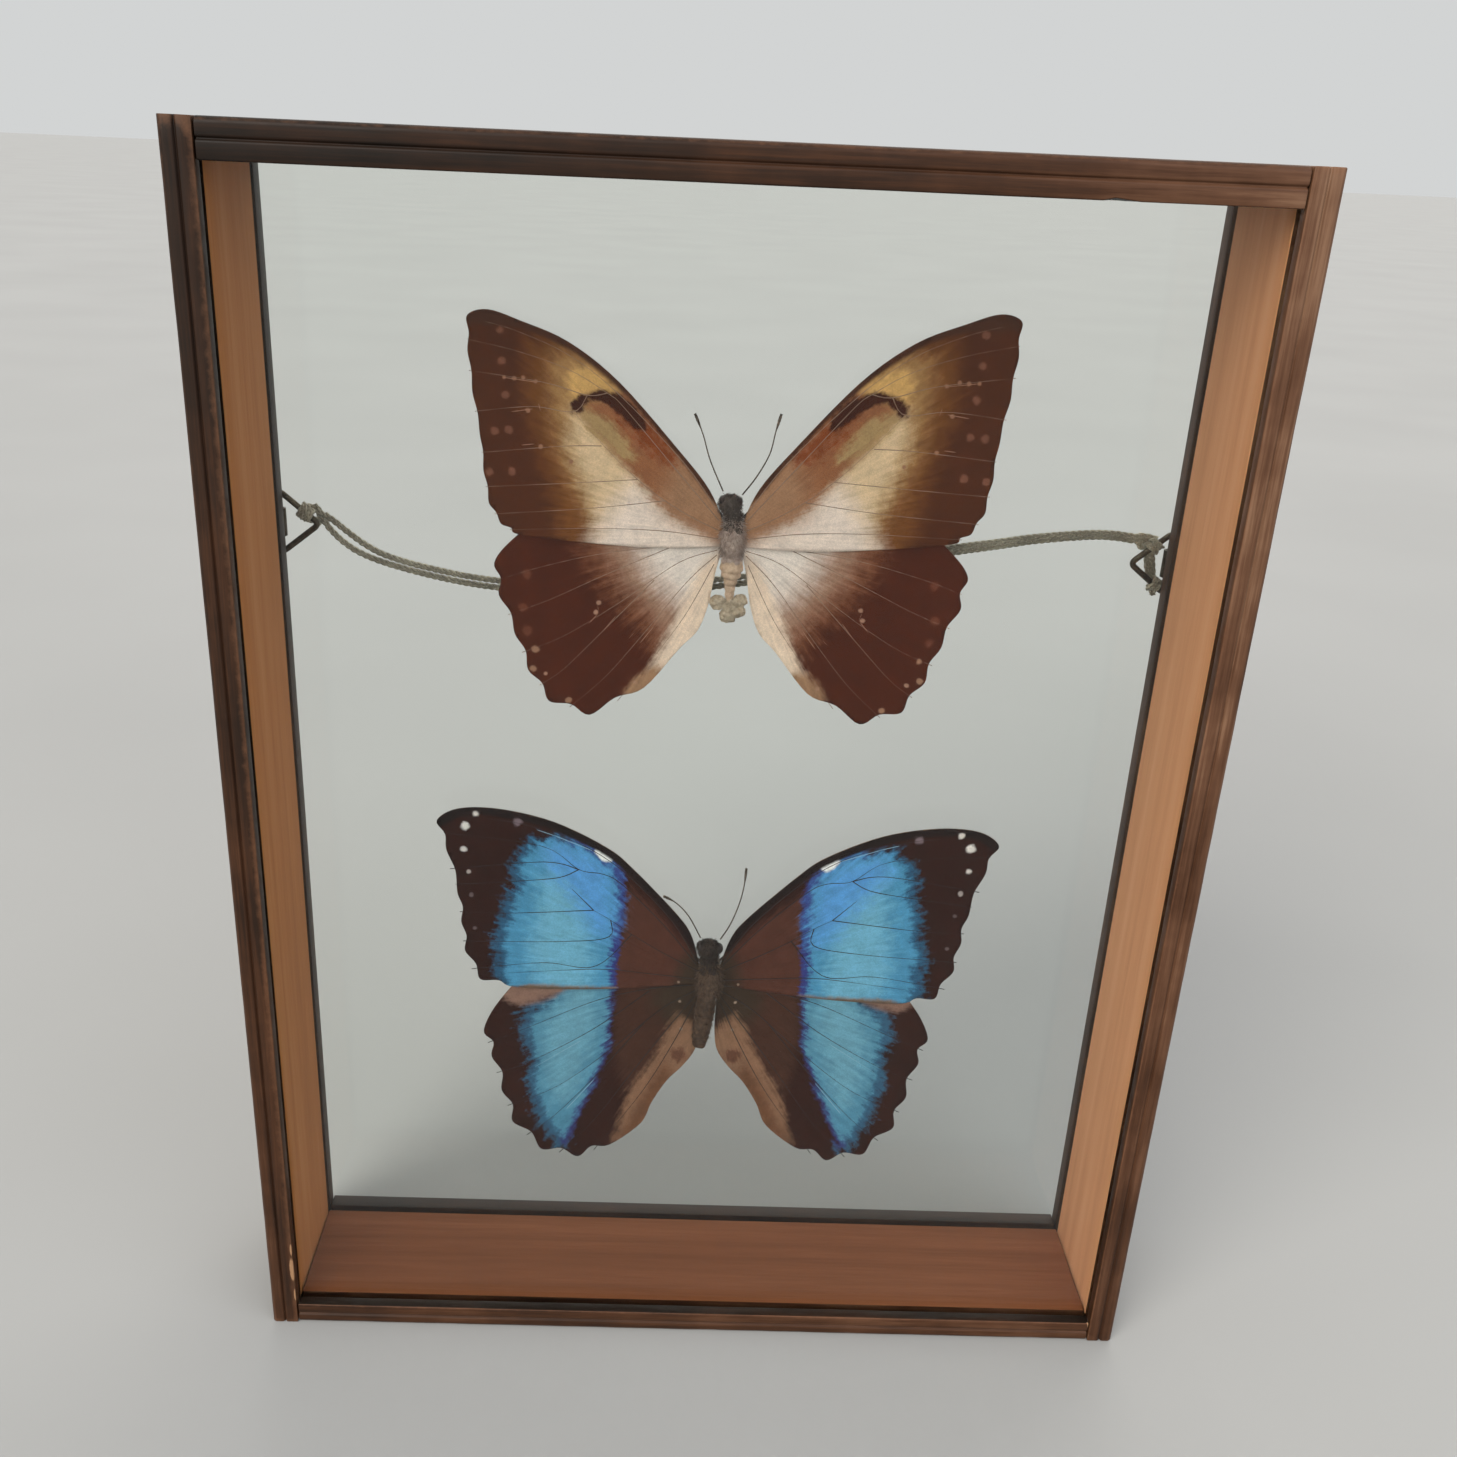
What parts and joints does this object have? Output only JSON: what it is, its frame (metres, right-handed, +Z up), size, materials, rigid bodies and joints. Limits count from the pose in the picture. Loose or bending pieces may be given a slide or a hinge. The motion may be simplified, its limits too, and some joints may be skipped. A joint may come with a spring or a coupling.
{
  "type": "framed butterfly specimen",
  "caption": "See-through glazed wooden display frame with dried butterflies fixed between its panes and a slack hanging cord on wire rings at the back.",
  "frame": {"origin": "on the surface it stands on, under the middle of the frame and its metal hangers", "axes": "+Z up the frame, +Y to its back where the hangers are, +X to the right seen from the front"},
  "size_m": [0.202, 0.0453, 0.264],
  "materials": {
    "stained_wood": "dark brown stain, bare tan wood inside between the panes",
    "clear_glass": "clear, polished",
    "brown_wing": "matte scales, dark red-brown margin, cream middle",
    "blue_wing": "matte dark brown scales with a satin sky-blue band",
    "hairy_body": "dry, hairy",
    "dry_residue": "dry, crumbly, grey-beige",
    "clear_glue": "clear dried glue",
    "dark_metal": "darkened, slightly tarnished",
    "grey_cord": "woven, grey-green, worn"
  },
  "bodies": {
    "root": {"stile_left": "stained_wood", "stile_right": "stained_wood", "rail_top": "stained_wood", "rail_bottom": "stained_wood", "pane_front": "clear_glass", "pane_back": "clear_glass", "upper_forewing_left": "brown_wing", "upper_forewing_right": "brown_wing", "upper_hindwing_left": "brown_wing", "upper_hindwing_right": "brown_wing", "upper_antenna_left": "hairy_body", "upper_antenna_right": "hairy_body", "upper_body": "hairy_body", "upper_glue": "clear_glue", "lower_forewing_left": "blue_wing", "lower_forewing_right": "blue_wing", "lower_hindwing_left": "blue_wing", "lower_hindwing_right": "blue_wing", "lower_antenna_left": "hairy_body", "lower_antenna_right": "hairy_body", "lower_body": "hairy_body", "lower_glue": "clear_glue", "upper_residue": "dry_residue", "hanger_strap_left": "dark_metal", "hanger_ring_left": "dark_metal", "hanger_screw_left": "dark_metal", "knot_left": "grey_cord", "hanger_strap_right": "dark_metal", "hanger_ring_right": "dark_metal", "hanger_screw_right": "dark_metal", "knot_right": "grey_cord", "cord_upper": "grey_cord", "cord_lower": "grey_cord"}
  },
  "joints": []
}
